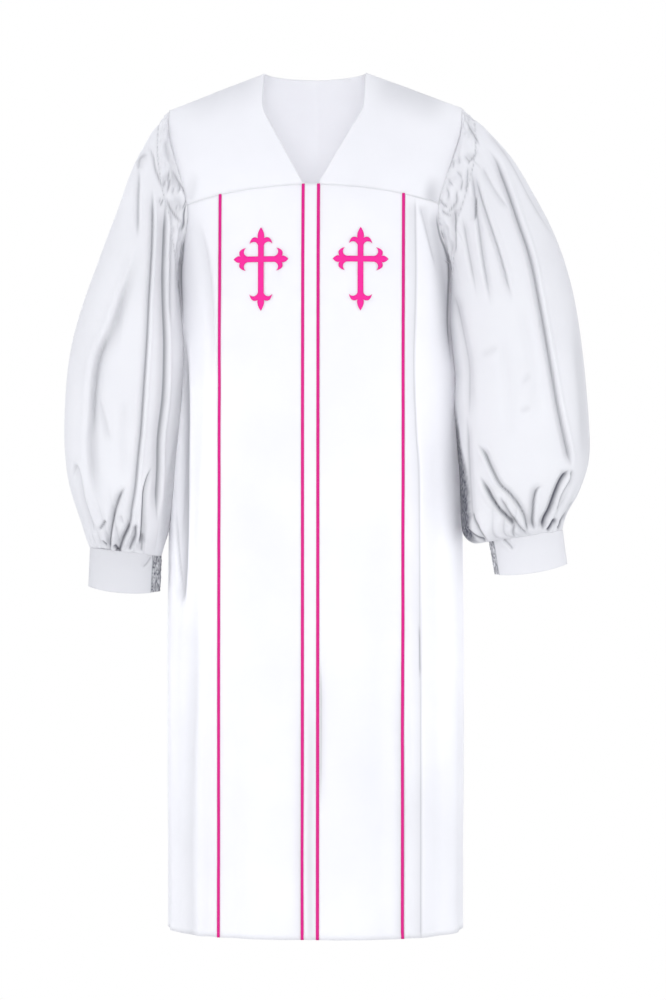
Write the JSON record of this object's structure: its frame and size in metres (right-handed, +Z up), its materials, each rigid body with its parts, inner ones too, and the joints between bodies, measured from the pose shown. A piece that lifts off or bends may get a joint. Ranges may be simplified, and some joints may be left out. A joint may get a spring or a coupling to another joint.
{
  "type": "pulpit robe",
  "caption": "Long white pulpit robe, worn shape with no wearer, with a V neck, gathered balloon sleeves, band cuffs, pink piping and pink crosses.",
  "frame": {"origin": "between the shoulders, at the height where the yokes rest on the wearer's shoulders", "axes": "+Z up, +X to the wearer's left, +Y to the wearer's back"},
  "size_m": [0.8096, 0.3072, 1.3201],
  "materials": {
    "white_cloth": "smooth white polyester with a faint satin sheen",
    "pink_piping": "bright pink satin piping",
    "pink_applique": "bright pink satin-stitched applique"
  },
  "bodies": {
    "root": {"back_yoke": "white_cloth", "back": "white_cloth", "placket": "white_cloth", "front_yoke_left": "white_cloth", "front_yoke_right": "white_cloth", "front_panel_left": "white_cloth", "front_panel_right": "white_cloth", "side_front_left": "white_cloth", "side_front_right": "white_cloth", "sleeve_left": "white_cloth", "sleeve_right": "white_cloth", "cuff_left": "white_cloth", "cuff_right": "white_cloth", "piping_inner_left": "pink_piping", "piping_inner_right": "pink_piping", "piping_outer_left": "pink_piping", "piping_outer_right": "pink_piping", "cross_left": "pink_applique", "cross_right": "pink_applique"}
  },
  "joints": []
}
